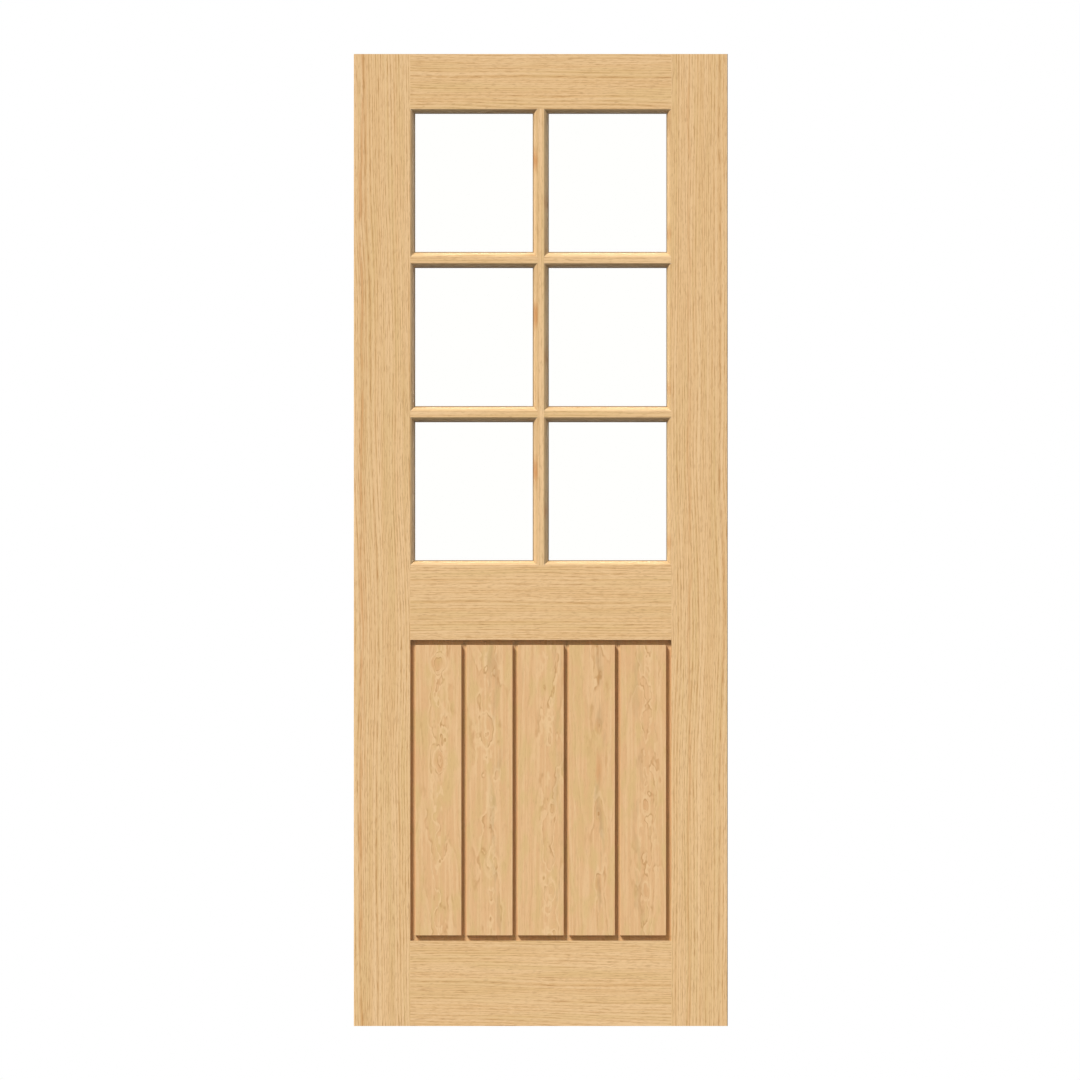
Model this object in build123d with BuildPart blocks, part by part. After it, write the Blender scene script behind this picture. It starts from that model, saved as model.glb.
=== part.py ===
from build123d import *
import os

# Half-glazed boarded front door leaf, in millimetres.
# +X runs across the leaf, +Y from its front face to its rear face, and +Z up.
# The origin is the middle of the bottom edge, half way through the thickness.

# Leaf: two full-height stiles with three rails between them
door_width = 762
door_height = 1981
door_thickness = 44
stile_width = 115
top_rail_height = 112
lock_rail_height = 152
bottom_rail_height = 174
leaf_arris = 1.5  # eased long edges of the leaf

# Panel of matched boards under the lock rail
panel_height = 613
board_count = 5
channel_width = 10.6  # square channel between the boards and all round them
channel_depth = 9.5
board_arris = 0.3
board_gap = 0.4  # seasoning gap between two boards, at the floor of their channel
edge_tongue_thickness = 12  # tongues round the panel, in the frame's ploughs
edge_tongue_length = 10
match_tongue_thickness = 8  # tongues between one board and the next
match_tongue_length = 8

# Glazing bars, tenoned into the frame and halved over each other
row_names = ["bottom", "middle", "top"]
column_names = ["left", "right"]
cross_bar_names = ["lower_cross_bar", "upper_cross_bar"]
vertical_bar_names = ["vertical_bar"]
bar_width = 12.5
bar_tenon_thickness = 20
bar_tenon_length = 18

# Ovolo beads that hold the glass from both faces
bead_width = 10.2
bead_fillet_width = 1.8  # narrow flat along the sight line, beside the ovolo
ovolo_depth = 9.5
ovolo_start_angle = 25  # between the face and the ovolo where it leaves the face

# Sealed glazing units
glass_thickness = 4
cavity_width = 6
unit_edge_gap = 3  # from the edge of the glass to the frame and the bars
edge_seal_width = 2.2
spacer_width = 4.6
tape_thickness = 1
tape_width = 6
setting_block_length = 40
setting_block_shares = [-0.3, 0.3]  # places along the light's width, from its middle

# Dowels between the rails and the stiles
dowel_diameter = 16
dowel_length = 130
top_dowel_shares = [0.28, 0.72]  # places up the rail's height
lock_dowel_shares = [0.22, 0.5, 0.78]
bottom_dowel_shares = [0.22, 0.5, 0.78]

# Fits
joint_fit = 0.1  # each side of a tenon, a tongue or a dowel
joint_relief = 1  # room for glue past the end of a tenon, a tongue or a dowel

# Openings in the frame
opening_width = door_width - 2 * stile_width
panel_bottom = bottom_rail_height
panel_top = panel_bottom + panel_height
glazing_bottom = panel_top + lock_rail_height
glazing_top = door_height - top_rail_height
glazing_height = glazing_top - glazing_bottom

# Lights of the glazed opening, from bar to bar
light_width = (opening_width - (len(column_names) - 1) * bar_width) / len(column_names)
light_height = (glazing_height - (len(row_names) - 1) * bar_width) / len(row_names)
column_pitch = light_width + bar_width
row_pitch = light_height + bar_width
column_middles = [light_width / 2 - opening_width / 2 + n * column_pitch for n in range(len(column_names))]
row_middles = [glazing_bottom + light_height / 2 + n * row_pitch for n in range(len(row_names))]
lights = {
    f"{row_name}_{column_name}": (x, z)
    for row_name, z in zip(row_names, row_middles)
    for column_name, x in zip(column_names, column_middles)
}
vertical_bar_places = [x + column_pitch / 2 for x in column_middles[:-1]]
cross_bar_places = [z + row_pitch / 2 for z in row_middles[:-1]]

# Glazing units and the room that is left for the beads
unit_width = light_width - 2 * unit_edge_gap
unit_height = light_height - 2 * unit_edge_gap
unit_thickness = 2 * glass_thickness + cavity_width
bead_depth = (door_thickness - unit_thickness) / 2 - tape_thickness

# Heights of the dowels
dowel_heights = [
    bottom + share * height
    for bottom, height, shares in (
        (0, bottom_rail_height, bottom_dowel_shares),
        (panel_top, lock_rail_height, lock_dowel_shares),
        (glazing_top, top_rail_height, top_dowel_shares),
    )
    for share in shares
]

# Sockets that the tongues, tenons and dowels enter
plough_width = edge_tongue_thickness + 2 * joint_fit
plough_depth = edge_tongue_length + joint_relief
mortise_width = bar_width + 2 * joint_fit
mortise_thickness = bar_tenon_thickness + 2 * joint_fit
mortise_depth = bar_tenon_length + joint_relief
dowel_bore_radius = dowel_diameter / 2 + joint_fit
dowel_bore_depth = dowel_length / 2 + joint_relief

os.makedirs("parts", exist_ok=True)


def save(piece, name):
    """Labels a finished piece and writes it as one file."""
    piece.label = name
    export_step(piece, f"parts/{name}.step")


# Stiles: ploughed for the boards, mortised for the cross bars and bored for the dowels
for side, name in ((-1, "left_stile"), (1, "right_stile")):
    inner_edge = Plane(origin=(side * opening_width / 2, 0, 0), x_dir=(0, -side, 0), z_dir=(-side, 0, 0))
    with BuildPart() as stile:
        with BuildSketch(Plane.XY):
            with Locations((side * (door_width - stile_width) / 2, 0)):
                Rectangle(stile_width, door_thickness)
        extrude(amount=door_height)
        outer_edge = stile.faces().sort_by(Axis.X)[-1 if side > 0 else 0]
        chamfer(outer_edge.edges().filter_by(Axis.Z), leaf_arris)
        with BuildSketch(inner_edge):
            with Locations((0, panel_bottom + panel_height / 2)):
                Rectangle(plough_width, panel_height)
        extrude(amount=-plough_depth, mode=Mode.SUBTRACT)
        with BuildSketch(inner_edge):
            with Locations(*[(0, z) for z in cross_bar_places]):
                Rectangle(mortise_thickness, mortise_width)
        extrude(amount=-mortise_depth, mode=Mode.SUBTRACT)
        with BuildSketch(inner_edge):
            with Locations(*[(0, z) for z in dowel_heights]):
                Circle(dowel_bore_radius)
        extrude(amount=-dowel_bore_depth, mode=Mode.SUBTRACT)
    save(stile.part, name)


def make_rail(bottom, height, dowel_shares, plough_side, mortise_side):
    """A rail between the stiles. A side is 1 for the upper edge, -1 for the lower and 0 for neither."""
    edge_planes = {1: Plane.XY.offset(bottom + height), -1: Plane.XY.offset(bottom)}
    with BuildPart() as rail:
        with BuildSketch(edge_planes[-1]):
            Rectangle(opening_width, door_thickness)
        extrude(amount=height)
        if plough_side:
            with BuildSketch(edge_planes[plough_side]):
                Rectangle(opening_width, plough_width)
            extrude(amount=-plough_side * plough_depth, mode=Mode.SUBTRACT)
        if mortise_side:
            with BuildSketch(edge_planes[mortise_side]):
                with Locations(*[(x, 0) for x in vertical_bar_places]):
                    Rectangle(mortise_width, mortise_thickness)
            extrude(amount=-mortise_side * mortise_depth, mode=Mode.SUBTRACT)
        for side in (-1, 1):
            shoulder_middle = (side * opening_width / 2, 0, bottom)
            shoulder = Plane(origin=shoulder_middle, x_dir=(0, side, 0), z_dir=(side, 0, 0))
            with BuildSketch(shoulder):
                with Locations(*[(0, share * height) for share in dowel_shares]):
                    Circle(dowel_bore_radius)
            extrude(amount=-dowel_bore_depth, mode=Mode.SUBTRACT)
    return rail.part


save(make_rail(0, bottom_rail_height, bottom_dowel_shares, 1, 0), "bottom_rail")
save(make_rail(panel_top, lock_rail_height, lock_dowel_shares, -1, 1), "lock_rail")
save(make_rail(glazing_top, top_rail_height, top_dowel_shares, 0, -1), "top_rail")

# Dowels, half in a rail and half in a stile
with BuildPart() as dowels:
    for side in (-1, 1):
        with BuildSketch(Plane.YZ.offset(side * opening_width / 2)):
            with Locations(*[(0, z) for z in dowel_heights]):
                Circle(dowel_diameter / 2)
        extrude(amount=dowel_length / 2, both=True)
save(dowels.part, "dowels")

# Boards: a raised field on both faces, lips that make the channels, and tongues all round
board_pitch = (opening_width - channel_width) / board_count
field_width = board_pitch - channel_width
core_thickness = door_thickness - 2 * channel_depth
board_length = panel_height + 2 * edge_tongue_length
for n in range(board_count):
    is_first = n == 0
    is_last = n == board_count - 1
    field_left = channel_width - opening_width / 2 + n * board_pitch
    shared_lip = (channel_width - board_gap) / 2
    core_left = field_left - (channel_width if is_first else shared_lip)
    core_right = field_left + field_width + (channel_width if is_last else shared_lip)
    core_width = core_right - core_left
    with BuildPart() as board:
        with BuildSketch(Plane.XY.offset(panel_bottom + channel_width)):
            with Locations((field_left, 0)):
                Rectangle(field_width, door_thickness, align=(Align.MIN, Align.CENTER))
        extrude(amount=panel_height - 2 * channel_width)
        front_and_rear = board.faces().filter_by(Axis.Y)
        chamfer(front_and_rear.edges(), board_arris)
        with BuildSketch(Plane.XY.offset(panel_bottom)):
            with Locations((core_left, 0)):
                Rectangle(core_width, core_thickness, align=(Align.MIN, Align.CENTER))
            if is_first:
                with Locations((core_left, 0)):
                    Rectangle(edge_tongue_length, edge_tongue_thickness, align=(Align.MAX, Align.CENTER))
            if is_last:
                with Locations((core_right, 0)):
                    Rectangle(edge_tongue_length, edge_tongue_thickness, align=(Align.MIN, Align.CENTER))
        extrude(amount=panel_height)
        with BuildSketch(Plane.XY.offset(panel_bottom - edge_tongue_length)):
            with Locations((core_left, 0)):
                Rectangle(core_width, edge_tongue_thickness, align=(Align.MIN, Align.CENTER))
            if not is_last:
                with Locations((core_right, 0)):
                    Rectangle(match_tongue_length, match_tongue_thickness, align=(Align.MIN, Align.CENTER))
        extrude(amount=board_length)
        if not is_first:
            with BuildSketch(Plane.XY.offset(panel_bottom - edge_tongue_length)):
                with Locations((core_left, 0)):
                    Rectangle(
                        match_tongue_length,
                        match_tongue_thickness + 2 * joint_fit,
                        align=(Align.MIN, Align.CENTER),
                    )
            extrude(amount=board_length, mode=Mode.SUBTRACT)
    save(board.part, f"board_{n + 1}")

# Vertical bar: whole at the front, halved behind for the cross bars
for name, x in zip(vertical_bar_names, vertical_bar_places):
    with BuildPart() as vertical_bar:
        with BuildSketch(Plane.XY.offset(glazing_bottom)):
            with Locations((x, 0)):
                Rectangle(bar_width, door_thickness)
        extrude(amount=glazing_height)
        with BuildSketch(Plane.XY.offset(glazing_bottom - bar_tenon_length)):
            with Locations((x, 0)):
                Rectangle(bar_width, bar_tenon_thickness)
        extrude(amount=glazing_height + 2 * bar_tenon_length)
        for z in cross_bar_places:
            with BuildSketch(Plane.XY.offset(z - mortise_width / 2)):
                with Locations((x, 0)):
                    Rectangle(bar_width, door_thickness / 2, align=(Align.CENTER, Align.MIN))
            extrude(amount=mortise_width, mode=Mode.SUBTRACT)
    save(vertical_bar.part, name)

# Cross bars: whole behind, halved at the front for the vertical bar
for name, z in zip(cross_bar_names, cross_bar_places):
    with BuildPart() as cross_bar:
        with BuildSketch(Plane.XY.offset(z - bar_width / 2)):
            Rectangle(opening_width, door_thickness)
            Rectangle(opening_width + 2 * bar_tenon_length, bar_tenon_thickness)
            with Locations(*[(x, 0) for x in vertical_bar_places]):
                Rectangle(
                    mortise_width,
                    door_thickness / 2,
                    align=(Align.CENTER, Align.MAX),
                    mode=Mode.SUBTRACT,
                )
        extrude(amount=bar_width)
    save(cross_bar.part, name)


def make_bead(length, span, face):
    """A mitred ovolo bead on the lower side of a light, which is length wide and span high."""
    sill = -span / 2
    with BuildPart() as bead:
        with BuildSketch(face):
            with BuildLine():
                Polyline(
                    (-length / 2, sill),
                    (length / 2, sill),
                    (length / 2 - bead_width, sill + bead_width),
                    (bead_width - length / 2, sill + bead_width),
                    close=True,
                )
            make_face()
        extrude(amount=-bead_depth)
        with BuildSketch(Plane(face.origin, x_dir=face.y_dir, z_dir=face.x_dir).offset(-length / 2)):
            with BuildLine():
                ovolo = TangentArc(
                    (sill, 0),
                    (sill + bead_width - bead_fillet_width, -ovolo_depth),
                    tangent=Vector(1, 0).rotate(Axis.Z, -ovolo_start_angle),
                )
                Polyline(
                    ovolo @ 1,
                    (sill + bead_width, -ovolo_depth),
                    (sill + bead_width, -bead_depth),
                    (sill, -bead_depth),
                    ovolo @ 0,
                )
            make_face()
        extrude(amount=length, mode=Mode.INTERSECT)
    return bead.part


# Beads: four to each light on each face, mitred at the corners
for light_name, (x, z) in lights.items():
    for y_side, face_name in ((-1, "front"), (1, "rear")):
        light_middle = (x, y_side * door_thickness / 2, z)
        face = Plane(origin=light_middle, x_dir=(-y_side, 0, 0), z_dir=(0, y_side, 0))
        beads = []
        for turn in (0, 180):
            beads.append(make_bead(light_width, light_height, face.rotated((0, turn, 0))))
        for turn in (90, 270):
            beads.append(make_bead(light_height, light_width, face.rotated((0, turn, 0))))
        save(Compound(children=beads), f"{face_name}_beads_{light_name}")

# Sealed units: two panes with a spacer frame and an edge seal between them
for light_name, light_middle in lights.items():
    with BuildPart() as outer_pane:
        with BuildSketch(Plane.XZ.offset(cavity_width / 2)):
            with Locations(light_middle):
                Rectangle(unit_width, unit_height)
        extrude(amount=glass_thickness)
    save(outer_pane.part, f"outer_pane_{light_name}")

    with BuildPart() as inner_pane:
        with BuildSketch(Plane.XZ.offset(-cavity_width / 2)):
            with Locations(light_middle):
                Rectangle(unit_width, unit_height)
        extrude(amount=-glass_thickness)
    save(inner_pane.part, f"inner_pane_{light_name}")

    spacer_outer_width = unit_width - 2 * edge_seal_width
    spacer_outer_height = unit_height - 2 * edge_seal_width
    with BuildPart() as edge_seal:
        with BuildSketch(Plane.XZ):
            with Locations(light_middle):
                Rectangle(unit_width, unit_height)
                Rectangle(spacer_outer_width, spacer_outer_height, mode=Mode.SUBTRACT)
        extrude(amount=cavity_width / 2, both=True)
    save(edge_seal.part, f"edge_seal_{light_name}")

    with BuildPart() as spacer:
        with BuildSketch(Plane.XZ):
            with Locations(light_middle):
                Rectangle(spacer_outer_width, spacer_outer_height)
                Rectangle(
                    spacer_outer_width - 2 * spacer_width,
                    spacer_outer_height - 2 * spacer_width,
                    mode=Mode.SUBTRACT,
                )
        extrude(amount=cavity_width / 2, both=True)
    save(spacer.part, f"spacer_{light_name}")

# Glazing tape between the glass and the beads, on both faces
for y_side, name in ((-1, "outer_glazing_tape"), (1, "inner_glazing_tape")):
    with BuildPart() as tape:
        with BuildSketch(Plane.XZ.offset(-y_side * unit_thickness / 2)):
            with Locations(*lights.values()):
                Rectangle(unit_width, unit_height)
                Rectangle(unit_width - 2 * tape_width, unit_height - 2 * tape_width, mode=Mode.SUBTRACT)
        extrude(amount=-y_side * tape_thickness)
    save(tape.part, name)

# Setting blocks that carry the units on the lock rail and the cross bars
with BuildPart() as setting_blocks:
    with BuildSketch(Plane.XZ):
        block_places = [
            (x + share * light_width, z - light_height / 2)
            for x, z in lights.values()
            for share in setting_block_shares
        ]
        with Locations(*block_places):
            Rectangle(setting_block_length, unit_edge_gap, align=(Align.CENTER, Align.MIN))
    extrude(amount=unit_thickness / 2, both=True)
save(setting_blocks.part, "setting_blocks")
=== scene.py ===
import math

import bpy
import numpy as np
from bpy.props import FloatProperty, FloatVectorProperty, IntProperty, PointerProperty
from mathutils import Euler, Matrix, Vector


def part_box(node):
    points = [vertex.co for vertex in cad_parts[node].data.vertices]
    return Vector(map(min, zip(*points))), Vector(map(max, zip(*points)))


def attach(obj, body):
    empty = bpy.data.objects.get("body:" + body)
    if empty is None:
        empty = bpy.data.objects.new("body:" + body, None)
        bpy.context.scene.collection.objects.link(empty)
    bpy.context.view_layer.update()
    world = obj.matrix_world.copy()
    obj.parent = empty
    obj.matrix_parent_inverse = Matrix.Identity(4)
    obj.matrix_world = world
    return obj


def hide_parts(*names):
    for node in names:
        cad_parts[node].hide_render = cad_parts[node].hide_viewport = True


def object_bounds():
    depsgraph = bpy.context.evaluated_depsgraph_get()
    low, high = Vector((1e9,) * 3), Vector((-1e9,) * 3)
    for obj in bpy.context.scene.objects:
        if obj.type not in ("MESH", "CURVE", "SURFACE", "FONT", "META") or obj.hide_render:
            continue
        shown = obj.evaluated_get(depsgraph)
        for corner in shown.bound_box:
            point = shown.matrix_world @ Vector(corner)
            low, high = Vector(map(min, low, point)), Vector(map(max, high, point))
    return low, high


bl_info = {
    "name": "Half-glazed boarded oak door leaf",
    "version": (1, 0, 0),
    "blender": (4, 5, 0),
    "location": "3D View > Sidebar > Door leaf",
    "description": "Gives a half-glazed boarded oak door leaf its beads, timber, glass and studio",
    "category": "Object",
}

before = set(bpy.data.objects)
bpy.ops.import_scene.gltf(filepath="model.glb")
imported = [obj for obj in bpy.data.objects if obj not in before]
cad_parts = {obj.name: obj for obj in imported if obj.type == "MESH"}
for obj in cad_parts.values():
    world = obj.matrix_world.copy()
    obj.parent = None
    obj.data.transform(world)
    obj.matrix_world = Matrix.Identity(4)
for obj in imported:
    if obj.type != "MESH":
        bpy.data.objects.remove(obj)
CAD_LOW, CAD_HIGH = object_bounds()

MM = 0.001
TO_MM = 1 / MM
ORIGIN = Vector((0, 0, 0))
ROWS = ("bottom", "middle", "top")
COLUMNS = ("left", "right")
LIGHTS = [f"{row}_{column}" for row in ROWS for column in COLUMNS]

# Turns that lay the grain along the pattern's own third axis, in degrees
GRAIN_UP = (0, 0, 0)
GRAIN_ACROSS = (0, -90, 0)
GRAIN_ALONG_UV = (90, 0, 0)

# How each timber was sawn and what it shows, in mm and degrees. A size of two numbers is across the grain
# and along it. A place across or up is from the middle of the leaf's bottom edge.
#   turn     how the grain lies
#   pith     where the middle of the log runs, beside and behind the piece's own centre
#   lean     how far the piece turns from the log's line, about its face and about its edge
#   bend     how far the log itself wanders
#   slip     how far along the log the piece was cut, so that no two share a figure
#   bow      up, half length and swell of a stretch where the years bow aside
#   spacing  width of a year's growth
#   ripple   size across, size along and height of the waves in the years
#   edge     shares of a year over which its dark line fades, after the year starts and before
#   dash     size of the runs that break the dark lines
#   late     shares of a year where its palest part starts, is full, starts to end and ends
#   line, cream, vessels  how strongly the dark lines, the palest parts and the vessels show
#   base     colour of the ground
#   band     size of the pale and tan bands
#   bands    how far the bands part
#   tone     how pale the bands are
#   patch    size of the golden patches
#   golden   how strongly the golden patches show
#   flecks   how strongly the pale flecks and their pits show between the golden patches
#   streaks  across, half width, strength and colour of each
#   run      size of the runs that break the streaks, and the noise values between which they come in
#   heart    across, half width and height of the crinkles of the line where the figure is strongest
#   drift    how far the streaks and the heart stray to each side
#   knots    across, up, half width, half height, swell, strength and strength of the pale rim of each
#   tones_and_shades  colour and axis of each, the centre to measure from, and the way from it where the
#            colour starts to change and ends, with its strength at both; the beads' round takes the wood's
#            own deeper tone, the rest is painted shade in the channels and by the glass
#   gloss    roughness and strength of the sheen
RIFT = dict(spacing=3.5, ripple=(9, 150, 2.4), edge=(0.3, 0.18), late=(0.3, 0.55, 0.6, 0.85),
            dash=(1.5, 34), line=1, cream=0.5, vessels=0.36, bands=0.6, tone=0.58, base="tan",
            band=(8, 620), patch=(15, 420), golden=0.6, flecks=0, drift=8, run=(12, 90, 0.3, 0.6),
            gloss=(0.5, 0.3))
CROWN = dict(spacing=7, ripple=(17, 80, 7), edge=(0.22, 0.08), late=(0.62, 0.84, 0.88, 1), dash=(9, 34),
             line=0.7, cream=0.75, vessels=0.16, bands=0.85, tone=0.14, base="blush", band=(4.5, 330),
             patch=(19, 60), golden=0.75, flecks=0, drift=17, run=(16, 60, 0.47, 0.62), gloss=(0.5, 0.3))
STILE = dict(RIFT, turn=GRAIN_UP, bend=6)
RAIL = dict(RIFT, turn=GRAIN_ACROSS, dash=(1.5, 36), line=0.8, tone=0.5, patch=(20, 300), flecks=0.6)
CROSS_BAR = dict(RIFT, turn=GRAIN_ACROSS, bend=4, line=0.6, tone=0.75)
BOARD = dict(CROWN, turn=GRAIN_UP)
FRAME_CUTS = {
    "left_stile": dict(STILE, pith=(-190, 150), lean=(0.5, 0.35), slip=1100, bow=(830, 360, -7),
                       streaks=[(-377, 7, 0.5, "pale"), (-366, 5, 0.5, "heart"),
                                (-358, 4, 0.2, "heart")]),
    "right_stile": dict(STILE, pith=(210, 170), lean=(-0.4, -0.5), slip=5200, bow=(830, 360, 7),
                        spacing=3.7, line=0.92, streaks=[(302, 4, 0.3, "heart")]),
    "top_rail": dict(RAIL, pith=(150, 160), lean=(0.8, 0.5), bend=7, slip=9300),
    "lock_rail": dict(RAIL, pith=(-170, 150), lean=(-0.6, 0.6), bend=6, slip=12400),
    "bottom_rail": dict(RAIL, pith=(180, 140), lean=(0.7, -0.5), bend=7, slip=16500),
    "vertical_bar": dict(RIFT, turn=GRAIN_UP, pith=(160, 120), lean=(0.3, 0.3), bend=4, slip=20600,
                         line=0.6, tone=0.9),
    "lower_cross_bar": dict(CROSS_BAR, pith=(150, 130), lean=(0.4, 0.2), slip=23700),
    "upper_cross_bar": dict(CROSS_BAR, pith=(-150, 120), lean=(0.3, -0.3), slip=26800),
}
BOARD_CUTS = {
    "board_1": dict(BOARD, pith=(-4, 62), lean=(1.2, 0.5), bend=11, slip=31100, heart=(-208, 40, 9.5),
                    knots=[(-211, 738, 24, 26, 12, 0.2, 0.6), (-207, 540, 20, 46, -10, 0.22, 0.5)]),
    "board_2": dict(BOARD, pith=(6, 74), lean=(-0.9, 0.4), bend=12, slip=34200, heart=(-106, 44, 11.5),
                    streaks=[(-108, 11, 0.9, "pale"), (-94, 18, 0.24, "deep_tone_and_shade")],
                    knots=[(-110, 600, 22, 52, 12, 0.05, 0.6), (-104, 330, 14, 40, -7, 0, 0.5)]),
    "board_3": dict(BOARD, pith=(22, 60), lean=(1.3, -0.4), bend=9, slip=37300, heart=(18, 36, 9),
                    streaks=[(36, 20, 0.2, "deep_tone_and_shade")],
                    knots=[(24, 442, 12, 26, 9, 0.2, 0.6), (23, 277, 12, 26, 9, 0.2, 0.6)]),
    "board_4": dict(BOARD, pith=(10, 66), lean=(-1.2, 0.2), bend=8, slip=40400, heart=(118, 22, 5),
                    streaks=[(118, 10, 0.3, "deep_tone_and_shade")],
                    knots=[(118, 610, 13, 34, 5, 0.4, 0.2), (118, 530, 9, 52, 0, 0.45, 0),
                           (118, 432, 9, 24, 5, 0.3, 0), (118, 288, 12, 30, 5, 0.3, 0.2)]),
    "board_5": dict(BOARD, pith=(8, 64), lean=(1.2, 0.4), bend=9, slip=43500, heart=(214, 40, 9.5),
                    cream=0.62, streaks=[(200, 20, 0.17, "deep_tone_and_shade")],
                    knots=[(214, 448, 12, 26, 9, 0.2, 0.6), (215, 277, 12, 26, 9, 0.2, 0.6)]),
}
# Painted shade in the channels: how far below the face it starts, where it is full, and its strength
CHANNEL_SHADE = (0.6, 2.5, 0.15)
# How far a board's raised field ends short of its tongues, the width of the step there, and how strongly
# painted shade darkens what lies past it, the floors of the channels above and below the board
END_SHADE = (20.6, 0.05, 0.3)
# How much the beads are darkened: on the round as the bead's own deeper tone, and on the fillet by the
# glass as painted shade in the corner where bead and glass meet
BEAD_TONE_AND_SHADE = (0.32, 0.85)
# Painted shade in the corner where bead and glass meet: how strongly the dark line shows on a bead's
# fillet, and how far before the fillet it starts
GLASS_SHADE_LINE = (0.62, 0.8)

# Each bead takes its grain from the next stretch of one long moulding, so on the beads the places of a cut
# are round the profile and along the moulding
SIDES = 4
GRAIN_MAP = "grain"
BEAD_STRETCH = 610
# Brown patches on some upright beads: the beads' stretches, how far along each, half length and strength,
# and for all of them the place round the profile and the half width
BEAD_PATCHES = (((1, 9, 17), 196, 42, 1), ((7, 15, 23), 192, 26, 0.55), ((5, 13, 21), 47, 24, 0.5))
PATCH_ROUND = (12, 60)
BEAD_CUT = dict(RIFT, turn=GRAIN_ALONG_UV, pith=(140, 90), lean=(0.3, 0.6), bend=3, slip=0, tone=0.3,
                bands=0.3, cream=0.25, gloss=(0.38, 0.55),
                knots=[(PATCH_ROUND[0], stretch * BEAD_STRETCH + along, PATCH_ROUND[1], half_length, 0,
                        strength, 0)
                       for stretches, along, half_length, strength in BEAD_PATCHES
                       for stretch in stretches])
# Edges sharper than this many degrees stay crisp on the beads
CRISP_ANGLE = 32

# Noises that all cuts share: mm across the grain, mm along it and octaves
WANDER = (75, 420, 1)
DRIFT = (40, 130, 1)
CRINKLE = (17, 36, 2)
FLECK = (1.7, 13, 2)
# Noise values between which each mark of the oak comes in
COMES_IN = {"dash": (0.44, 0.62), "vessel": (0.54, 0.72), "band": (0.34, 0.66), "patch": (0.42, 0.7),
            "fleck": (0.54, 0.68), "pit": (0.32, 0.46), "zone": (0.4, 0.58)}
# Strength of a dark line in its gaps and just before its year, of pits beside flecks, and of the figure
# far from the heart, each as a share of the full strength
GAP_SHARE = 0.15
EARLY_SHARE = 0.8
PIT_SHARE = 0.4
PLAIN_SHARE = 0.3
# Over how many years growth speeds up and slows down, and by how many years that shifts a line at most
UNEVEN_YEARS = (5, 2.4)
# As shares of a knot's size: how far crinkles push its outline, where its pale rim lies, and the rim's
# half width
KNOT_CRINKLE = 0.8
KNOT_RIM = (0.7, 0.25)
# How deep a dark line is beside a vessel, how much both roughen the finish, and the strength and the depth
# in mm of their dents
LINE_DEPTH = 0.4
OPEN_ROUGHNESS = 0.14
OPEN_DENTS = (0.35, 0.15)
OAK_IOR = 1.5

# Plain finishes: the size of the pattern's patches in mm, how far it shades the base, the roughness and
# whether it is a metal
FINISHES = {
    # Drawn bar, anodised: a soft grey metal with lines along the upright lengths, drawn coarser to show
    "anodised_aluminium_spacer": ((0.4, 0.4, 30), 0.22, 0.36, 1),
    # Gunned and cured rubber: near black, dull and a little lumpy
    "polysulphide_sealant": ((3, 3, 3), 0.3, 0.62, 0),
    # Closed-cell foam: near black, matt and finely pitted
    "foam_glazing_tape": ((0.7, 0.7, 0.7), 0.2, 0.9, 0),
    # Moulded plastic: an even blue with the faint grain of the mould
    "moulded_pvc_setting_block": ((1.2, 1.2, 1.2), 0.12, 0.5, 0),
    # Turned wood: pinkish, with short darker flecks along the dowel
    "steamed_beech_dowel": ((4, 0.8, 0.8), 0.3, 0.6, 0),
    # Rolled matt paint: pale and flat, with the stipple of the roller
    "matt_painted_floor": ((8, 8, 8), 0.04, 0.85, 0),
}
# What they share: the octaves of the pattern, the values between which it shades the base, how bright the
# shade is where no second colour is given, the spread of the roughness, and the strength and the depth in
# mm of the dents
FINISH_OCTAVES = 3
FINISH_SHADE = (0.4, 0.7)
FINISH_DARKER = 0.35
FINISH_SPREAD = 0.2
FINISH_DENTS = (0.2, 0.1)

# Dust on the glass: mm across a patch, octaves and roughness of its noise, the values between which it
# comes in, and how much it roughens the glass
DUST_PATCH = 60
DUST_NOISE = (4, 0.65)
DUST_COMES_IN = (0.5, 0.8)
DUST_ROUGHNESS = 0.015
GLASS_IOR = 1.52

# Where each lamp shines from, and the degrees that the two weaker ones fill
KEY_FROM = (-0.45, -0.53, 0.72)
FILL_FROM = (0.85, -0.45, 0.1)
BACK_FROM = (0.42, 0.86, 0.28)
FILL_SPREAD = 60
BACK_SPREAD = 40
# Heights on a unit sphere between which the light from below turns into the light from above
SKY_TURN = (-0.5, 0.5)
WHITE = (1, 1, 1)
# How far left of the leaf's middle the camera stands, in mm, and how far it sees, in metres
CAMERA_ASIDE = 1.6
CAMERA_REACH = 100

# Settings that many nodes share
MULTIPLY = {"operation": "MULTIPLY"}
MULTIPLY_ADD = {"operation": "MULTIPLY_ADD"}
SMOOTH = {"interpolation_type": "SMOOTHSTEP"}
COLOURS = {"data_type": "RGBA"}


def to_linear(code):
    """Linear colour of an sRGB hex code: a channel c above 0.04045 becomes ((c + 0.055) / 1.055) ** 2.4,
    and one below it c / 12.92."""
    c = np.array([int(code[i:i + 2], 16) for i in (1, 3, 5)]) / 255
    return tuple(np.where(c > 0.04045, ((c + 0.055) / 1.055) ** 2.4, c / 12.92).tolist())


def colour(name, description, code):
    """One colour property, its default given as an sRGB hex code."""
    return FloatVectorProperty(name=name, description=description, subtype="COLOR", size=3,
                               min=0, max=1, default=to_linear(code))


def length(name, description, size_mm):
    """One length property, its default given in millimetres."""
    return FloatProperty(name=name, description=description, unit="LENGTH", min=0,
                         default=size_mm * MM, precision=5)


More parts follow.
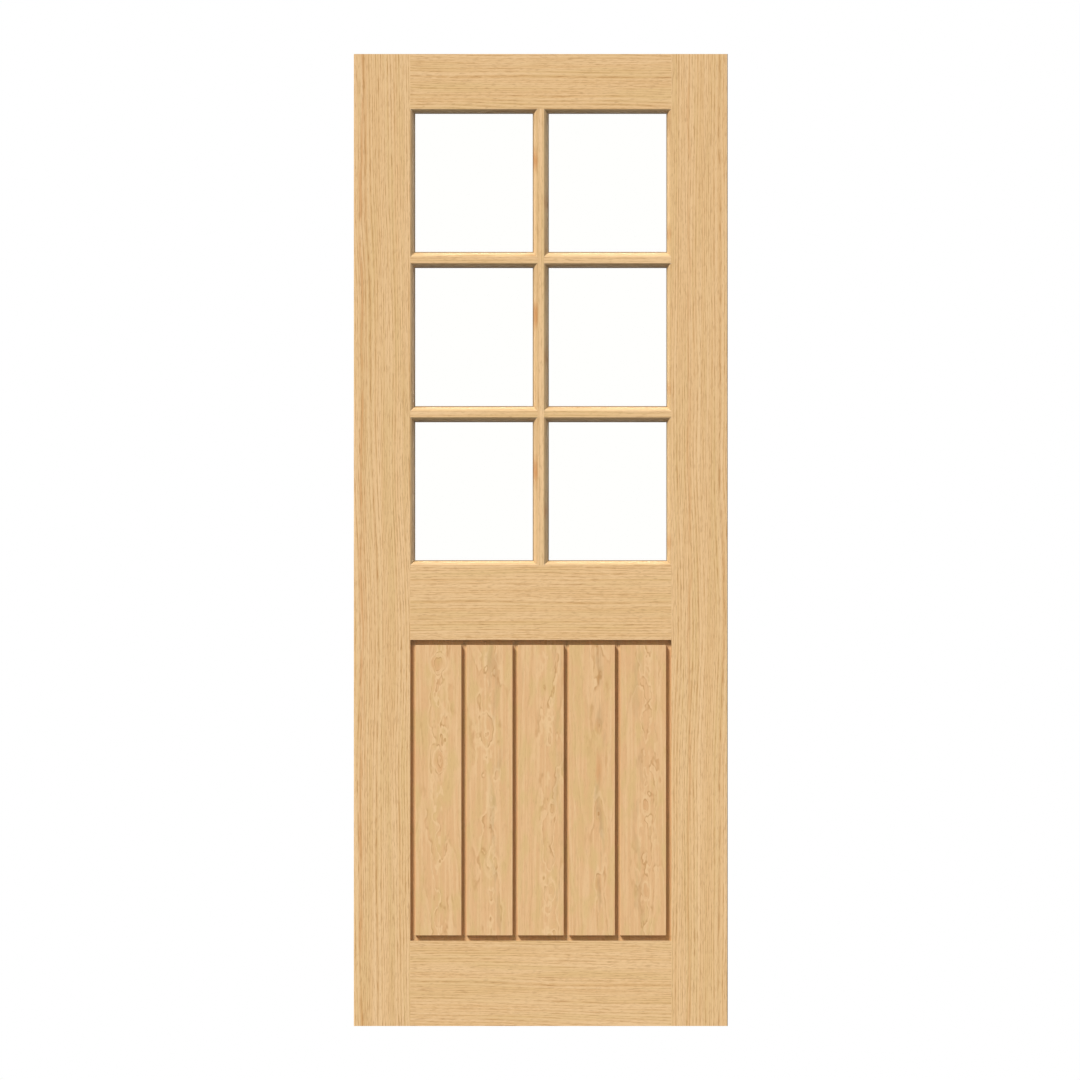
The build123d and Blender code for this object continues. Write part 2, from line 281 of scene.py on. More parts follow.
class DoorOak(bpy.types.PropertyGroup):
    """Colours and figure of the oak"""

    pale: colour("Pale wood", "The palest bands between growth rings", "#E9C493")
    tan: colour("Tan wood", "The deeper bands between growth rings", "#DCB27B")
    blush: colour("Blush wood", "The pinker ground of the boards", "#DEB17F")
    golden: colour("Golden wood", "The yellower patches that run through the boards", "#D8B57B")
    ring_line: colour("Ring line", "The porous line at the start of each year's growth", "#B5834A")
    vessel: colour("Vessels", "The open vessels, seen as short dark dashes", "#9C6E3C")
    heart: colour("Heart streak", "The orange-brown streaks near the heart of the log", "#C2803F")
    # The deeper tone of the board streaks and of the beads' round, and also the colour of painted shade in
    # the channels and on the beads' fillet by the glass
    deep_tone_and_shade: colour("Soaked wood", "The deeper tone where the finish gathers", "#9C8158")
    # Painted shade: the dark line in the corner where bead and glass meet
    glass_shade_line: colour("Line by the glass", "The dark line of old finish beside the glass", "#6A5A40")
    vessel_width: length("Vessel width", "Width of a dash across the grain", 1.1)
    vessel_length: length("Vessel length", "Length of a dash along the grain", 14)


class DoorBeads(bpy.types.PropertyGroup):
    """Sizes of the glazing beads"""

    width: length("Width", "How far a bead reaches into the light", 10.2)
    fillet_width: length("Fillet", "Width of the flat step beside the glass", 1.8)
    curve_depth: length("Curve depth", "Depth of the rounded part below the leaf's face", 9.5)
    arris: length("Arris", "Radius of the eased edge beside the glass", 0.45)
    top_arris: length("Top arris", "Radius of the eased edge beside the timber", 0.08)
    quirk: length("Quirk", "How far the bead's top edge lies below the leaf's face", 0.04)
    mitre_gap: length("Mitre gap", "Open line at each mitre", 0.06)
    start_slope: FloatProperty(name="Start slope", description="Slope at which the curve leaves the face",
                               subtype="ANGLE", default=math.radians(25))
    steps: IntProperty(name="Steps", description="Facets round the curve", default=16, min=4, max=64)


class DoorGlazing(bpy.types.PropertyGroup):
    """Colours of the glass, its edge and the hidden fittings"""

    glass: colour("Glass", "Tint of the clear float glass", "#FFFFFE")
    spacer: colour("Spacer", "Aluminium spacer bar", "#C9CBCC")
    sealant: colour("Sealant", "Rubbery seal round the unit", "#2C2C2E")
    tape: colour("Tape", "Foam glazing tape", "#3F3B38")
    block: colour("Setting block", "Plastic blocks that carry the glass", "#597CB4")
    beech: colour("Beech", "Dowels of the frame joints", "#DDB78F")
    beech_fleck: colour("Beech fleck", "Short rays in the beech", "#B98A5E")


class DoorStage(bpy.types.PropertyGroup):
    """Floor, light and camera"""

    floor: colour("Floor", "Matt pale floor", "#E9E8E5")
    floor_size: length("Floor size", "Side of the square floor", 9000)
    frame_height: length("Frame height", "Height of the picture at the leaf", 2200.9)
    camera_distance: length("Camera distance", "From the leaf to the camera", 5000)
    key: FloatProperty(name="Key light", description="Strength of the soft key light", default=4.48, min=0)
    back: FloatProperty(name="Back light", description="Strength of the light behind", default=2.2, min=0)
    fill: FloatProperty(name="Fill light", description="Strength of the cool light from the right",
                        default=0.16, min=0)
    fill_tint: colour("Fill tint", "Colour of the cool light from the right", "#E4F0FF")
    softness: FloatProperty(name="Softness", description="Angle that the key light fills",
                            subtype="ANGLE", default=math.radians(17))
    sky_high: FloatProperty(name="Light from above", description="Ambient light of the upper half",
                            default=0.36, min=0)
    sky_low: FloatProperty(name="Light from below", description="Ambient light of the lower half",
                           default=0.085, min=0)


def add(tree, kind, settings=(), sockets=()):
    """Adds one node to the tree, sets its settings, then links or fills its sockets by name or number.
    Returns its outputs."""
    node = tree.nodes.new(kind)
    for name, value in dict(settings).items():
        setattr(node, name, value)
    for name, value in dict(sockets).items():
        if isinstance(value, bpy.types.NodeSocket):
            tree.links.new(value, node.inputs[name])
        else:
            node.inputs[name].default_value = value
    return node.outputs


def blank_material(name):
    """An empty node material, and its tree."""
    material = bpy.data.materials.new(name)
    material.use_nodes = True
    material.node_tree.nodes.clear()
    return material, material.node_tree


def dress(node, material):
    """Gives a solid of the frame its material."""
    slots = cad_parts[node].data.materials
    slots.clear()
    slots.append(material)


def log_places(tree, cut, low, high, grain_map):
    """Where a point lies in mm, twice: turned so that the grain runs along the third axis, and in the log
    that the piece was sawn from, whose middle is that axis. The second is the first, leant about the log
    and moved by the piece's centre and by the way from there to the pith."""
    turn = Euler([math.radians(angle) for angle in cut["turn"]])
    lean = Euler([math.radians(angle) for angle in (*cut["lean"], 0)])
    middle = lean.to_matrix() @ turn.to_matrix() @ (low + high) * (TO_MM / 2)
    pith = Vector((*cut["pith"], -cut["slip"]))
    if grain_map:
        place = add(tree, "ShaderNodeUVMap", {"uv_map": grain_map})[0]
    else:
        place = add(tree, "ShaderNodeTexCoord")["Object"]
    turned = add(tree, "ShaderNodeMapping", sockets={
        "Vector": place, "Rotation": turn, "Scale": (TO_MM, TO_MM, TO_MM)})[0]
    log = add(tree, "ShaderNodeMapping", sockets={
        "Vector": turned, "Rotation": lean, "Location": -middle - pith})[0]
    return turned, log


def grain_noises(tree, sizes, cut, log):
    """The noises that a cut needs, each stretched along the log to patches of its own size."""
    patches = {"wander": WANDER, "ripple": (*cut["ripple"][:2], 2), "dash": (*cut["dash"], 2),
               "vessel": (sizes.vessel_width * TO_MM, sizes.vessel_length * TO_MM, 1),
               "band": (*cut["band"], 2), "patch": (*cut["patch"], 2)}
    if "streaks" in cut or "heart" in cut:
        patches["drift"] = DRIFT
    if "streaks" in cut:
        patches["run"] = (*cut["run"][:2], 2)
    if "knots" in cut:
        patches["crinkle"] = CRINKLE
    if cut["flecks"]:
        patches["fleck"] = FLECK
    noise = {}
    for name, (across, along, octaves) in patches.items():
        stretched = add(tree, "ShaderNodeMapping", sockets={
            "Vector": log, "Scale": (1 / across, 1 / across, 1 / along)})[0]
        noise[name] = add(tree, "ShaderNodeTexNoise", sockets={
            "Vector": stretched, "Scale": 1, "Detail": octaves})
    return noise


def fade(tree, value, centre, *step):
    """Smooth step over the distance of a value from a centre: where it starts and ends, and its results
    at both."""
    off = add(tree, "ShaderNodeMath", {"operation": "SUBTRACT"}, {0: value, 1: centre})[0]
    off = add(tree, "ShaderNodeMath", {"operation": "ABSOLUTE"}, {0: off})[0]
    return add(tree, "ShaderNodeMapRange", SMOOTH, dict(enumerate((off, *step))))[0]


def growth(tree, sizes, cut, turned, sides, log, noise):
    """How the years lie in a timber. Radius = distance from the log's wandering middle + ripples + the bow
    + the swell of each knot + the crinkles of the heart. Returns it with the strength of the figure, which
    fades away from a heart, and with the stains of knots and streaks as (share, colour)."""
    bend = cut["bend"]
    wander = add(tree, "ShaderNodeVectorMath", MULTIPLY_ADD, {
        0: noise["wander"]["Color"], 1: (2 * bend, 2 * bend, 0), 2: (-bend, -bend, 0)})[0]
    section = add(tree, "ShaderNodeVectorMath", MULTIPLY_ADD, {0: log, 1: (1, 1, 0), 2: wander})[0]
    radius = add(tree, "ShaderNodeVectorMath", {"operation": "LENGTH"}, {0: section})[1]
    radius = add(tree, "ShaderNodeMath", MULTIPLY_ADD, {
        0: noise["ripple"]["Fac"], 1: cut["ripple"][2], 2: radius})[0]
    if "bow" in cut:
        up, half_length, swell = cut["bow"]
        near = fade(tree, sides[2], up, 0, half_length, swell, 0)
        radius = add(tree, "ShaderNodeMath", {"operation": "ADD"}, {0: near, 1: radius})[0]

    stains = []
    push = KNOT_CRINKLE / 2
    for across, up, half_width, half_height, swell, strength, rim in cut.get("knots", ()):
        spot = add(tree, "ShaderNodeMapping", sockets={
            "Vector": turned, "Scale": (1 / half_width, 0, 1 / half_height),
            "Location": (-across / half_width - push, 0, -up / half_height - push)})[0]
        spot = add(tree, "ShaderNodeVectorMath", MULTIPLY_ADD, {
            0: noise["crinkle"]["Color"], 1: (KNOT_CRINKLE, 0, KNOT_CRINKLE), 2: spot})[0]
        away = add(tree, "ShaderNodeVectorMath", {"operation": "LENGTH"}, {0: spot})[1]
        near = add(tree, "ShaderNodeMapRange", SMOOTH, {0: away, 1: 0, 2: 1, 3: 1, 4: 0})[0]
        radius = add(tree, "ShaderNodeMath", MULTIPLY_ADD, {0: near, 1: swell, 2: radius})[0]
        stain = add(tree, "ShaderNodeMath", MULTIPLY, {0: near, 1: strength})[0]
        edge = fade(tree, away, KNOT_RIM[0], 0, KNOT_RIM[1], rim, 0)
        stains += [(stain, sizes.heart), (edge, sizes.pale)]

    x, figure = sides[0], None
    if "drift" in noise:
        x = add(tree, "ShaderNodeMath", MULTIPLY_ADD, {
            0: noise["drift"]["Fac"], 1: 2 * cut["drift"], 2: x})[0]
        x = add(tree, "ShaderNodeMath", {"operation": "SUBTRACT"}, {0: x, 1: cut["drift"]})[0]
    if "heart" in cut:
        across, half_width, height = cut["heart"]
        near = fade(tree, x, across, 0, half_width, 1, 0)
        lift = add(tree, "ShaderNodeMath", MULTIPLY, {0: near, 1: 2 * height})[0]
        radius = add(tree, "ShaderNodeMath", MULTIPLY_ADD, {
            0: noise["crinkle"]["Fac"], 1: lift, 2: radius})[0]
        figure = add(tree, "ShaderNodeMath", MULTIPLY_ADD, {
            0: near, 1: 1 - PLAIN_SHARE, 2: PLAIN_SHARE})[0]
    for across, half_width, strength, tint in cut.get("streaks", ()):
        near = fade(tree, x, across, 0, half_width, strength, 0)
        run = add(tree, "ShaderNodeMapRange", SMOOTH, {
            0: noise["run"]["Fac"], 1: cut["run"][2], 2: cut["run"][3]})[0]
        stain = add(tree, "ShaderNodeMath", MULTIPLY, {0: near, 1: run})[0]
        stains.append((stain, getattr(sizes, tint)))
    return radius, figure, stains


def oak(name, sizes, cut, low, high, grain_map=None):
    """Sawn and sanded oak under a thin clear matt lacquer. The eye sees pale straw-brown wood, broken dark
    lines where each year's growth begins, short vessel dashes, broad warm and golden bands along the
    grain, painted shade that the callers lay in the channels and by the glass, and a low sheen that
    open vessels dull.
    Year = radius / spacing of the years + noise that makes them uneven, and the part after the whole
    number says how far the year has gone, so arches, ovals and straight lines come from how each piece was
    sawn. Real vessels are about 0.3 mm wide, and the dashes are drawn coarser so that they show."""
    material, tree = blank_material(name)
    turned, log = log_places(tree, cut, low, high, grain_map)
    sides = add(tree, "ShaderNodeSeparateXYZ", sockets={0: turned})
    noise = grain_noises(tree, sizes, cut, log)
    radius, figure, stains = growth(tree, sizes, cut, turned, sides, log, noise)

    spacing = cut["spacing"]
    slow = add(tree, "ShaderNodeMath", {"operation": "DIVIDE"}, {
        0: radius, 1: UNEVEN_YEARS[0] * spacing})[0]
    uneven = add(tree, "ShaderNodeTexNoise", {"noise_dimensions": "1D"}, {
        "W": slow, "Scale": 1, "Detail": 1})[0]
    even = add(tree, "ShaderNodeMath", {"operation": "DIVIDE"}, {0: radius, 1: spacing})[0]
    years = add(tree, "ShaderNodeMath", MULTIPLY_ADD, {0: uneven, 1: UNEVEN_YEARS[1], 2: even})[0]
    year = add(tree, "ShaderNodeMath", {"operation": "FRACT"}, {0: years})[0]

    # Smooth steps from one value to another as the year goes by or as a noise rises
    after, before = cut["edge"]
    starts, full, ending, ends = cut["late"]
    line, flecks, tone, part = cut["line"], cut["flecks"], cut["tone"], cut["bands"] / 2
    steps = {"after": (year, 0, after, 1, 0), "before": (year, 1 - before, 1, 0, EARLY_SHARE),
             "rise": (year, starts, full, 0, cut["cream"]), "fall": (year, ending, ends, 1, 0),
             "dash": (noise["dash"]["Fac"], *COMES_IN["dash"], GAP_SHARE * line, line),
             "vessel": (noise["vessel"]["Fac"], *COMES_IN["vessel"], 0, 1),
             "band": (noise["band"]["Fac"], *COMES_IN["band"], tone - part, tone + part),
             "patch": (noise["patch"]["Fac"], *COMES_IN["patch"], 0, cut["golden"])}
    if flecks:
        steps |= {"fleck": (noise["fleck"]["Fac"], *COMES_IN["fleck"], 0, flecks),
                  "pit": (noise["fleck"]["Fac"], *COMES_IN["pit"], PIT_SHARE * flecks, 0),
                  "zone": (noise["patch"]["Fac"], *COMES_IN["zone"], 1, 0)}
    for step, values in steps.items():
        steps[step] = add(tree, "ShaderNodeMapRange", SMOOTH, dict(enumerate(values)))[0]

    edge = add(tree, "ShaderNodeMath", {"operation": "MAXIMUM"}, {
        0: steps["after"], 1: steps["before"]})[0]
    lines = add(tree, "ShaderNodeMath", MULTIPLY, {0: edge, 1: steps["dash"]})[0]
    cream = add(tree, "ShaderNodeMath", MULTIPLY, {0: steps["rise"], 1: steps["fall"]})[0]
    vessels = add(tree, "ShaderNodeMath", MULTIPLY, {0: steps["vessel"], 1: cut["vessels"]})[0]
    if figure:
        lines = add(tree, "ShaderNodeMath", MULTIPLY, {0: lines, 1: figure})[0]
        cream = add(tree, "ShaderNodeMath", MULTIPLY, {0: cream, 1: figure})[0]
    layers = [(steps["band"], sizes.pale), (steps["patch"], sizes.golden), (cream, sizes.pale), *stains,
              (lines, sizes.ring_line), (vessels, sizes.vessel)]
    if flecks:
        for step, tint in (("fleck", sizes.pale), ("pit", sizes.ring_line)):
            share = add(tree, "ShaderNodeMath", MULTIPLY, {0: steps[step], 1: steps["zone"]})[0]
            layers.append((share, tint))
    for tint, axis, centre, *step in cut.get("tones_and_shades", ()):
        layers.append((fade(tree, sides[axis], centre, *step), getattr(sizes, tint)))
    wood = (*getattr(sizes, cut["base"]), 1)
    for share, tint in layers:
        wood = add(tree, "ShaderNodeMix", COLOURS, {0: share, 6: wood, 7: (*tint, 1)})[2]

    roughness, sheen = cut["gloss"]
    open_grain = add(tree, "ShaderNodeMath", MULTIPLY_ADD, {
        0: lines, 1: LINE_DEPTH, 2: steps["vessel"]})[0]
    rough = add(tree, "ShaderNodeMath", MULTIPLY_ADD, {
        0: open_grain, 1: OPEN_ROUGHNESS, 2: roughness})[0]
    dents = add(tree, "ShaderNodeBump", {"invert": True}, {
        "Height": open_grain, "Strength": OPEN_DENTS[0], "Distance": OPEN_DENTS[1] * MM})[0]
    shader = add(tree, "ShaderNodeBsdfPrincipled", sockets={
        "Base Color": wood, "Roughness": rough, "Specular IOR Level": sheen, "IOR": OAK_IOR,
        "Normal": dents})[0]
    add(tree, "ShaderNodeOutputMaterial", sockets={"Surface": shader})
    return material


def finish(name, base, second=None):
    """One of the plain finishes. A single noise shades the base towards the second colour, or towards a
    darker base, and roughens and dents the surface by the same pattern, as drawn metal, moulded plastic,
    foam, rubber, paint and flecked wood do at their own scales."""
    patch, contrast, roughness, metallic = FINISHES[name]
    material, tree = blank_material(name)
    place = add(tree, "ShaderNodeTexCoord")["Object"]
    place = add(tree, "ShaderNodeMapping", sockets={
        "Vector": place, "Scale": [1 / (size * MM) for size in patch]})[0]
    grain = add(tree, "ShaderNodeTexNoise", sockets={
        "Vector": place, "Scale": 1, "Detail": FINISH_OCTAVES})["Fac"]
    share = add(tree, "ShaderNodeMapRange", SMOOTH, dict(enumerate((
        grain, *FINISH_SHADE, 0, contrast))))[0]
    darker = second or [FINISH_DARKER * c for c in base]
    tone = add(tree, "ShaderNodeMix", COLOURS, {0: share, 6: (*base, 1), 7: (*darker, 1)})[2]
    rough = add(tree, "ShaderNodeMath", MULTIPLY_ADD, {
        0: grain, 1: FINISH_SPREAD, 2: roughness - FINISH_SPREAD / 2})[0]
    dents = add(tree, "ShaderNodeBump", sockets={
        "Height": grain, "Strength": FINISH_DENTS[0], "Distance": FINISH_DENTS[1] * MM})[0]
    shader = add(tree, "ShaderNodeBsdfPrincipled", sockets={
        "Base Color": tone, "Roughness": rough, "Metallic": metallic, "Normal": dents})[0]
    add(tree, "ShaderNodeOutputMaterial", sockets={"Surface": shader})
    return material


def float_glass(glazing):
    """Clear float glass: polished by its own making, so flat, mirror smooth and all but colourless. The
    eye sees through it, and sees the room in it at a slant. A breath of dust roughens it in patches. Lamps
    shine through it."""
    material, tree = blank_material("clear_float_glass")
    octaves, grit = DUST_NOISE
    place = add(tree, "ShaderNodeTexCoord")["Object"]
    dust = add(tree, "ShaderNodeTexNoise", sockets={
        "Vector": place, "Scale": 1 / (DUST_PATCH * MM), "Detail": octaves, "Roughness": grit})["Fac"]
    rough = add(tree, "ShaderNodeMapRange", sockets=dict(enumerate((
        dust, *DUST_COMES_IN, 0, DUST_ROUGHNESS))))[0]
    tint = (*glazing.glass, 1)
    pane = add(tree, "ShaderNodeBsdfPrincipled", sockets={
        "Base Color": tint, "Roughness": rough, "IOR": GLASS_IOR, "Transmission Weight": 1})[0]
    clear = add(tree, "ShaderNodeBsdfTransparent", sockets={"Color": tint})[0]
    lamp = add(tree, "ShaderNodeLightPath")["Is Shadow Ray"]
    shader = add(tree, "ShaderNodeMixShader", sockets={0: lamp, 1: pane, 2: clear})[0]
    add(tree, "ShaderNodeOutputMaterial", sockets={"Surface": shader})
    return material


def arc(start, end, start_angle, steps):
    """Points of the circular arc that leaves start at start_angle and passes through end. The chord's own
    angle is midway between the angles at the two ends, so the radius is chord / (2 sin(half the turn)),
    and the point at angle a is start + radius * (sin a - sin start, cos start - cos a)."""
    across, down = end[0] - start[0], end[1] - start[1]
    end_angle = 2 * math.atan2(down, across) - start_angle
    radius = math.hypot(across, down) / (2 * math.sin((end_angle - start_angle) / 2))
    a = np.linspace(start_angle, end_angle, steps + 1)
    return np.stack((start[0] + radius * (np.sin(a) - math.sin(start_angle)),
                     start[1] + radius * (math.cos(start_angle) - np.cos(a))), axis=1)


def eased(corner, radius, angle_in, angle_out, steps=4):
    """Points of a small arc that eases an outer corner, from direction angle_in to angle_out. It starts
    radius * tan(half the turn) before the corner."""
    back = radius * math.tan((angle_out - angle_in) / 2)
    start = np.array(corner) - back * np.array((math.cos(angle_in), math.sin(angle_in)))
    end = np.array(corner) + back * np.array((math.cos(angle_out), math.sin(angle_out)))
    return arc(start, end, angle_in, steps)


def bead_profile(beads, depth):
    """Closed outline of a bead as (distance into the light, depth below the leaf's face): up the side
    against the timber, over the eased edge, down the round, out along the fillet, and back along the
    side that presses on the glazing tape."""
    top = eased((0, beads.quirk), beads.top_arris, -math.pi / 2, beads.start_slope)
    foot = (beads.width - beads.fillet_width, beads.curve_depth)
    curve = arc(top[-1], foot, beads.start_slope, beads.steps)
    step = eased((beads.width, beads.curve_depth), beads.arris, 0, math.pi / 2)
    base = np.array(((beads.width, depth), (0, depth)))
    return np.concatenate((top, curve[1:], step, base))


def girth(profile):
    """Way round the profile at each of its points: the sum of the steps before it."""
    steps = np.linalg.norm(np.diff(profile, axis=0), axis=1)
    return np.concatenate(((0,), np.cumsum(steps)))


def mitred_beads(name, low, high, face, profile, gap, first):
    """Four beads round one light as one mesh. The profile is carried along each edge of the opening, and a
    profile point that lies w inside the light starts w after the edge's corner and ends w before the next,
    which makes the mitres: place = corner + along * (w + gap or edge - w - gap) + inward * w, at the depth
    face - sign(face) * (the point's own depth). The UV map is (way round the profile, way along the bead),
    in metres, shifted for each bead."""
    corners = np.array(((low.x, low.z), (high.x, low.z), (high.x, high.z), (low.x, high.z)))
    edges = np.roll(corners, -1, axis=0) - corners
    sizes = np.linalg.norm(edges, axis=1)
    along = edges / sizes[:, None]
    inward = np.stack((-along[:, 1], along[:, 0]), axis=1)
    inside, depth = profile.T
    ends = np.stack((np.broadcast_to(inside + gap, (SIDES, len(inside))),
                     sizes[:, None] - inside - gap), axis=1)
    flat = (corners[:, None, None, :] + along[:, None, None, :] * ends[..., None]
            + inward[:, None, None, :] * inside[None, None, :, None])
    into = np.broadcast_to(face - np.sign(face) * depth, flat.shape[:3])
    points = np.stack((flat[..., 0], into, flat[..., 1]), axis=-1)

    count = len(profile)
    start = np.arange(SIDES)[:, None] * 2 * count
    i = np.arange(count)
    j = (i + 1) % count
    sides = np.stack((start + i, start + j, start + count + j, start + count + i), axis=-1)
    caps = np.stack((start + i[::-1], start + count + i), axis=1)
    # The front beads are mirror images of the rear ones, so their faces go round the other way
    if face < 0:
        sides, caps = sides[..., ::-1], caps[..., ::-1]
    faces = sides.reshape(-1, 4).tolist() + caps.reshape(-1, count).tolist()
    mesh = bpy.data.meshes.new(name)
    mesh.from_pydata(points.reshape(-1, 3), [], faces)

    shift = (first + np.arange(SIDES)) * BEAD_STRETCH * MM
    uv = np.stack((np.broadcast_to(girth(profile), ends.shape), ends + shift[:, None, None]), axis=-1)
    corner_points = np.zeros(len(mesh.loops), np.int32)
    mesh.loops.foreach_get("vertex_index", corner_points)
    layer = mesh.uv_layers.new(name=GRAIN_MAP)
    layer.data.foreach_set("uv", uv.reshape(-1, 2)[corner_points].astype(np.float32).ravel())
    mesh.polygons.foreach_set("use_smooth", np.ones(len(mesh.polygons), bool))
    mesh.set_sharp_from_angle(angle=math.radians(CRISP_ANGLE))
    mesh.update()
    piece = bpy.data.objects.new(name, mesh)
    bpy.context.scene.collection.objects.link(piece)
    return piece


class DOOR_OT_frame_timbers(bpy.types.Operator):
    """Straight-grained oak on the stiles, rails and glazing bars"""

    bl_idname = "door.frame_timbers"
    bl_label = "Stiles, rails and bars"

    def execute(self, context):
        for node, cut in FRAME_CUTS.items():
            low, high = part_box(node)
            dress(node, oak(f"lacquered_oak_{node}", context.scene.door_oak, cut, low, high))
        return {"FINISHED"}


class DOOR_OT_boards(bpy.types.Operator):
    """Crown-cut oak on the boards of the lower panel"""

    bl_idname = "door.boards"
    bl_label = "Panel boards"

    def execute(self, context):
        starts, full, channel_shade_strength = CHANNEL_SHADE
        tongue, step, end_shade_strength = END_SHADE
        for node, cut in BOARD_CUTS.items():
            low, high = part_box(node)
            face = high.y / MM
            # Painted shade: darkens the boards below their face, so the channel floors look shaded
            deep = ("deep_tone_and_shade", 1, 0, face - full, face - starts, channel_shade_strength, 0)
            reach = (high.z - low.z) / 2 / MM - tongue
            # Painted shade on the channel floors above and below each board
            ends = ("deep_tone_and_shade", 2, (high.z + low.z) / 2 / MM, reach - step, reach, 0, end_shade_strength)
            sawn = dict(cut, tones_and_shades=[deep, ends])
            dress(node, oak(f"crown_cut_oak_{node}", context.scene.door_oak, sawn, low, high))
        return {"FINISHED"}


class DOOR_OT_beads(bpy.types.Operator):
    """Mitred ovolo beads round each light, on both faces"""

    bl_idname = "door.beads"
    bl_label = "Glazing beads"

    def execute(self, context):
        beads = context.scene.door_beads
        low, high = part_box(f"front_beads_{LIGHTS[0]}")
        profile = bead_profile(beads, high.y - low.y)
        foot = np.argmax(np.isclose(profile[:, 1], beads.curve_depth))
        fillet = girth(profile)[foot] / MM
        strength, lead = GLASS_SHADE_LINE
        # The bead's own deeper tone on the round, and painted shade on the fillet by the glass
        bead_tone_and_shade = ("deep_tone_and_shade", 0, 0, fillet, fillet + beads.fillet_width / MM, *BEAD_TONE_AND_SHADE)
        # Painted shade: the dark line where bead and glass meet
        line = ("glass_shade_line", 0, 0, fillet - lead, fillet + lead, 0, strength)
        sawn = dict(BEAD_CUT, tones_and_shades=[bead_tone_and_shade, line])
        timber = oak("lacquered_oak_bead", context.scene.door_oak, sawn, ORIGIN, ORIGIN, GRAIN_MAP)
        for side, name in enumerate(("front", "rear")):
            for number, light in enumerate(LIGHTS):
                node = f"{name}_beads_{light}"
                low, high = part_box(node)
                face = low.y if name == "front" else high.y
                piece = mitred_beads(f"ovolo_beads_{name}_{light}", low, high, face, profile,
                                     beads.mitre_gap, SIDES * (number + len(LIGHTS) * side))
                piece.data.materials.append(timber)
                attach(piece, "root")
                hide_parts(node)
        return {"FINISHED"}


class DOOR_OT_glazing(bpy.types.Operator):
    """Glass, spacers, seals, tapes and setting blocks of the six sealed units"""

    bl_idname = "door.glazing"
    bl_label = "Sealed units"

    def execute(self, context):
        glazing = context.scene.door_glazing
        panes = float_glass(glazing)
        spacer = finish("anodised_aluminium_spacer", glazing.spacer)
        sealant = finish("polysulphide_sealant", glazing.sealant)
        tape = finish("foam_glazing_tape", glazing.tape)
        block = finish("moulded_pvc_setting_block", glazing.block)
        for light in LIGHTS:
            dress(f"outer_pane_{light}", panes)
            dress(f"inner_pane_{light}", panes)
            dress(f"spacer_{light}", spacer)
            dress(f"edge_seal_{light}", sealant)
        dress("outer_glazing_tape", tape)
        dress("inner_glazing_tape", tape)
        dress("setting_blocks", block)
        return {"FINISHED"}


class DOOR_OT_dowels(bpy.types.Operator):
    """Beech on the dowels of the frame joints"""

    bl_idname = "door.dowels"
    bl_label = "Joint dowels"

    def execute(self, context):
        glazing = context.scene.door_glazing
        dress("dowels", finish("steamed_beech_dowel", glazing.beech, glazing.beech_fleck))
        return {"FINISHED"}


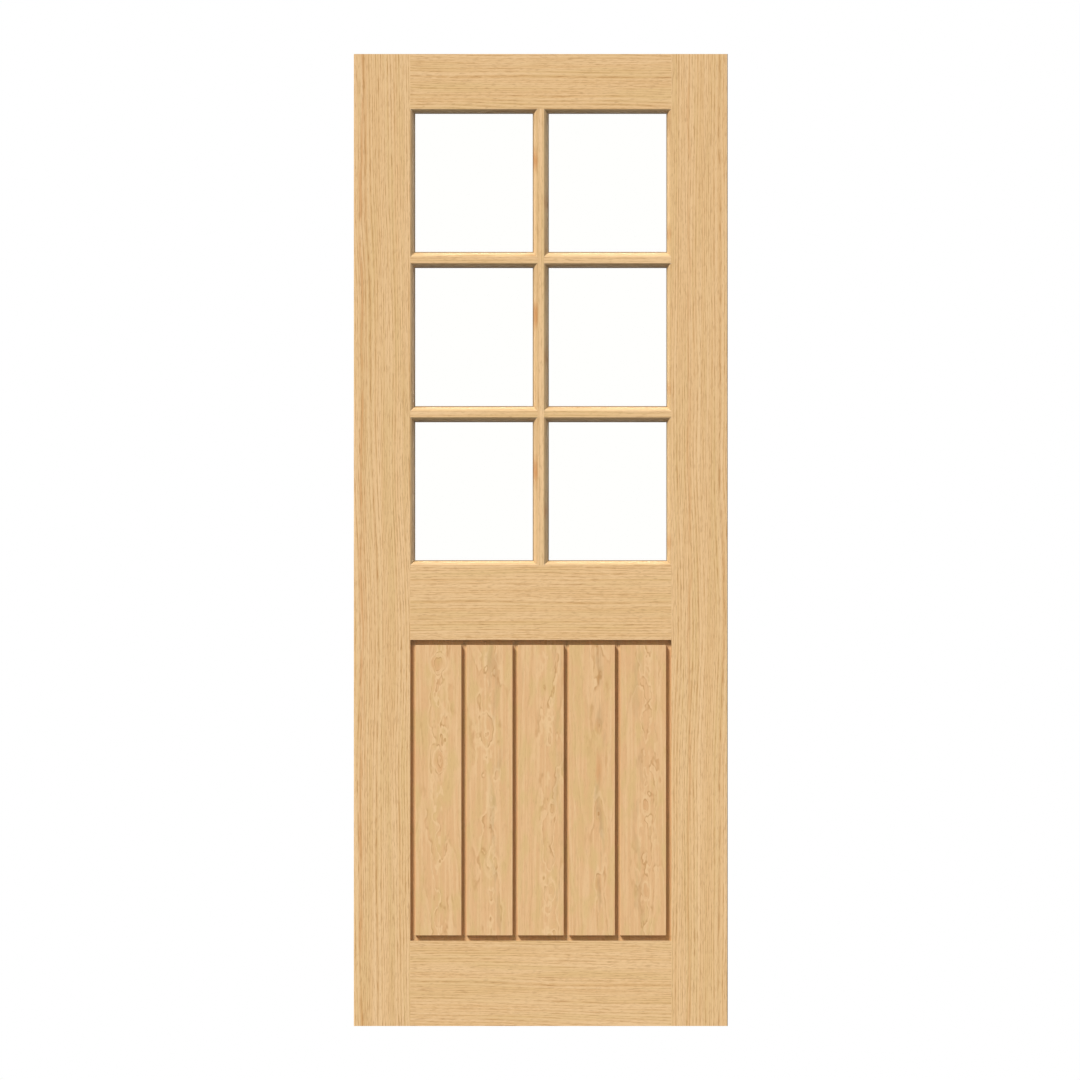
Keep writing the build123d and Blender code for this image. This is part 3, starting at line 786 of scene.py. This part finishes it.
class DOOR_OT_stage(bpy.types.Operator):
    """Pale floor, soft studio light and the camera square in front"""

    bl_idname = "door.stage"
    bl_label = "Floor, light and camera"

    def execute(self, context):
        scene = context.scene
        stage = scene.door_stage
        half = stage.floor_size / 2
        side = np.linspace(-half, half, 2)
        x, y = np.meshgrid(side, side, indexing="ij")
        mesh = bpy.data.meshes.new("floor")
        points = np.stack((x, y, np.full_like(x, CAD_LOW.z)), axis=-1).reshape(-1, 3)
        mesh.from_pydata(points, [], [(0, 2, 3, 1)])
        floor = bpy.data.objects.new("floor", mesh)
        scene.collection.objects.link(floor)
        mesh.materials.append(finish("matt_painted_floor", stage.floor))
        # Keeps the floor's own light off the leaf
        floor.visible_diffuse = False

        # White where it is seen straight, in gloss or through glass, with no matt surface on the way, and
        # dimmer as a light on matt surfaces
        world = bpy.data.worlds.new("studio")
        scene.world = world
        world.use_nodes = True
        tree = world.node_tree
        tree.nodes.clear()
        way = add(tree, "ShaderNodeTexCoord")["Generated"]
        height = add(tree, "ShaderNodeSeparateXYZ", sockets={0: way})[2]
        sky = add(tree, "ShaderNodeMapRange", SMOOTH, dict(enumerate((
            height, *SKY_TURN, stage.sky_low, stage.sky_high))))[0]
        seen = add(tree, "ShaderNodeMath", {"operation": "LESS_THAN"}, {
            0: add(tree, "ShaderNodeLightPath")["Diffuse Depth"], 1: 0.5})[0]
        strength = add(tree, "ShaderNodeMix", {"data_type": "FLOAT"}, {0: seen, 2: sky, 3: 1})[0]
        light = add(tree, "ShaderNodeBackground", sockets={"Color": (*WHITE, 1), "Strength": strength})[0]
        add(tree, "ShaderNodeOutputWorld", sockets={"Surface": light})
        # Sampled as a light, the world would give matt surfaces the white that is only to be seen
        world.cycles.sampling_method = "NONE"

        for name, shines_from, power, spread, tint in (
                ("key", KEY_FROM, stage.key, stage.softness, WHITE),
                ("fill", FILL_FROM, stage.fill, math.radians(FILL_SPREAD), stage.fill_tint),
                ("back", BACK_FROM, stage.back, math.radians(BACK_SPREAD), WHITE)):
            lamp = bpy.data.lights.new(name, "SUN")
            lamp.energy, lamp.angle, lamp.color = power, spread, tint
            holder = bpy.data.objects.new(name, lamp)
            holder.rotation_euler = Vector(shines_from).to_track_quat("Z", "Y").to_euler()
            scene.collection.objects.link(holder)

        camera = bpy.data.cameras.new("front")
        camera.type = "ORTHO"
        camera.ortho_scale = stage.frame_height
        camera.clip_end = CAMERA_REACH
        holder = bpy.data.objects.new("front", camera)
        middle = (CAD_LOW + CAD_HIGH) / 2
        holder.location = (middle.x - CAMERA_ASIDE * MM, CAD_LOW.y - stage.camera_distance, middle.z)
        holder.rotation_euler = (math.radians(90), 0, 0)
        scene.collection.objects.link(holder)
        scene.camera = holder
        scene.view_settings.view_transform = "Standard"
        return {"FINISHED"}


class DOOR_PT_leaf(bpy.types.Panel):
    """Lists the steps that dress the door leaf"""

    bl_idname = "DOOR_PT_leaf"
    bl_label = "Door leaf"
    bl_space_type = "VIEW_3D"
    bl_region_type = "UI"
    bl_category = "Door leaf"

    def draw(self, context):
        for step in STEPS:
            self.layout.operator(step.bl_idname)


GROUPS = {"door_oak": DoorOak, "door_beads": DoorBeads, "door_glazing": DoorGlazing,
          "door_stage": DoorStage}
STEPS = (DOOR_OT_frame_timbers, DOOR_OT_boards, DOOR_OT_beads, DOOR_OT_glazing, DOOR_OT_dowels,
         DOOR_OT_stage)


def register():
    """Adds the classes, and a group of sizes or colours to the scene for each property group."""
    for kind in (*GROUPS.values(), *STEPS, DOOR_PT_leaf):
        bpy.utils.register_class(kind)
    for name, kind in GROUPS.items():
        setattr(bpy.types.Scene, name, PointerProperty(type=kind))


def unregister():
    """Takes away what register added."""
    for name in GROUPS:
        delattr(bpy.types.Scene, name)
    for kind in reversed((*GROUPS.values(), *STEPS, DOOR_PT_leaf)):
        bpy.utils.unregister_class(kind)


def main():
    """Registers the add-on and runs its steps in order."""
    register()
    bpy.ops.door.frame_timbers()
    bpy.ops.door.boards()
    bpy.ops.door.beads()
    bpy.ops.door.glazing()
    bpy.ops.door.dowels()
    bpy.ops.door.stage()


if __name__ == "__main__":
    main()
